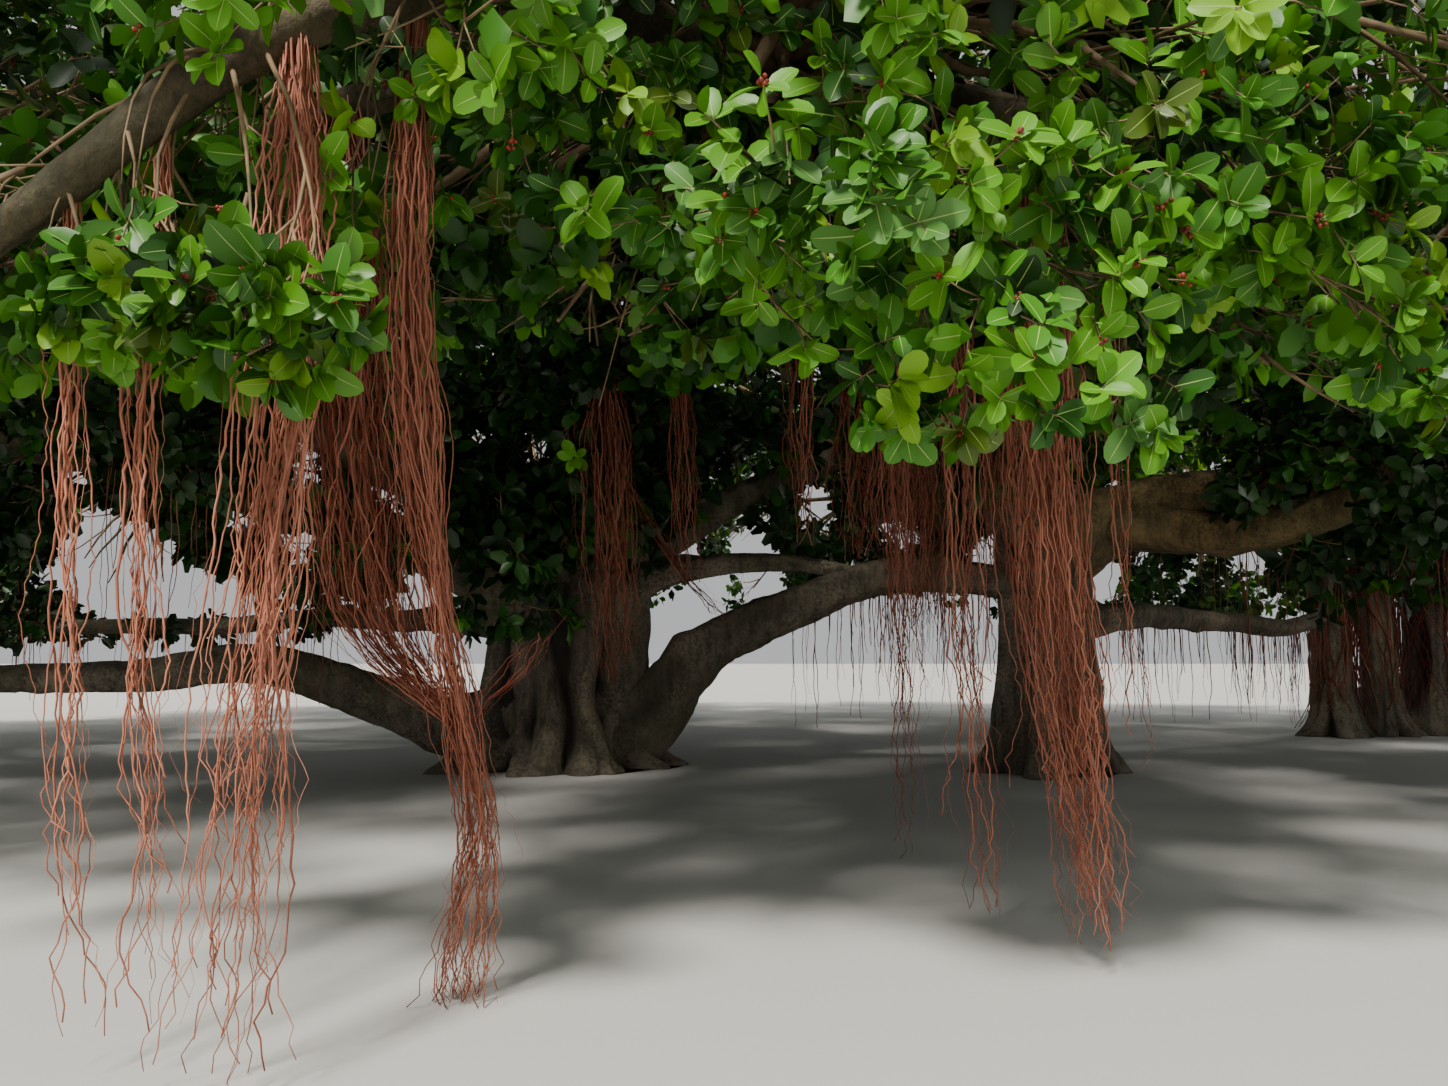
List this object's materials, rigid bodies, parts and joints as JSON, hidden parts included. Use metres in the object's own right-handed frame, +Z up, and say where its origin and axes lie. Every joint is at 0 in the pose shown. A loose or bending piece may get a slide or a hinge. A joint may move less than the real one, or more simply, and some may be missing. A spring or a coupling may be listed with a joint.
{
  "type": "banyan tree",
  "caption": "Spreading banyan tree: fluted main trunk, younger trunks grown from roots, low boughs, a wide leafy crown and hanging bundles of aerial roots.",
  "frame": {"origin": "middle of the flat cut under the main trunk, at ground level", "axes": "+Z up, +Y from the side seen in the picture to the far side, +X to the right in the picture"},
  "size_m": [38.0103, 26.5158, 10.4232],
  "materials": {
    "trunk_bark": "grey-brown fluted bark",
    "bough_bark": "smoother olive-brown bark",
    "foliage": "glossy broad leaves, deep green to yellow-green",
    "aerial_root": "reddish-brown fibrous roots"
  },
  "bodies": {
    "root": {"main_trunk": "trunk_bark", "second_trunk": "trunk_bark", "far_trunk_west": "trunk_bark", "far_trunk_middle": "trunk_bark", "far_trunk_east": "trunk_bark", "bough_west_low": "bough_bark", "bough_west_high": "bough_bark", "bough_arch_rise": "bough_bark", "bough_arch_span": "bough_bark", "bough_arch_upper": "bough_bark", "bough_upper_east": "bough_bark", "bough_crown_south": "bough_bark", "bough_south_west": "bough_bark", "bough_west_south": "bough_bark", "bough_crown_west": "bough_bark", "bough_crown_north_west": "bough_bark", "bough_north": "bough_bark", "bough_crown_north": "bough_bark", "bough_south": "bough_bark", "bough_north_east": "bough_bark", "bough_east_main": "bough_bark", "bough_east_low": "bough_bark", "bough_east_link": "bough_bark", "foliage_south": "foliage", "foliage_south_west": "foliage", "foliage_west_south": "foliage", "foliage_west": "foliage", "foliage_north_west": "foliage", "foliage_north": "foliage", "foliage_north_middle": "foliage", "foliage_north_east": "foliage", "foliage_east_north": "foliage", "foliage_east": "foliage", "foliage_south_east": "foliage", "crown_west": "foliage", "crown_north_west": "foliage", "crown_south": "foliage", "crown_north": "foliage", "crown_south_east": "foliage", "crown_north_east": "foliage", "crown_east": "foliage", "roots_front_a": "aerial_root", "roots_front_b": "aerial_root", "roots_front_c": "aerial_root", "roots_front_d": "aerial_root", "roots_front_e": "aerial_root", "roots_middle_f": "aerial_root", "roots_middle_g": "aerial_root", "roots_middle_h": "aerial_root", "roots_front_k": "aerial_root", "roots_front_l": "aerial_root", "roots_arch": "aerial_root", "roots_link_near": "aerial_root", "roots_link_far": "aerial_root", "roots_east": "aerial_root", "roots_west": "aerial_root", "roots_south_west": "aerial_root", "roots_north": "aerial_root", "roots_north_east": "aerial_root"}
  },
  "joints": []
}
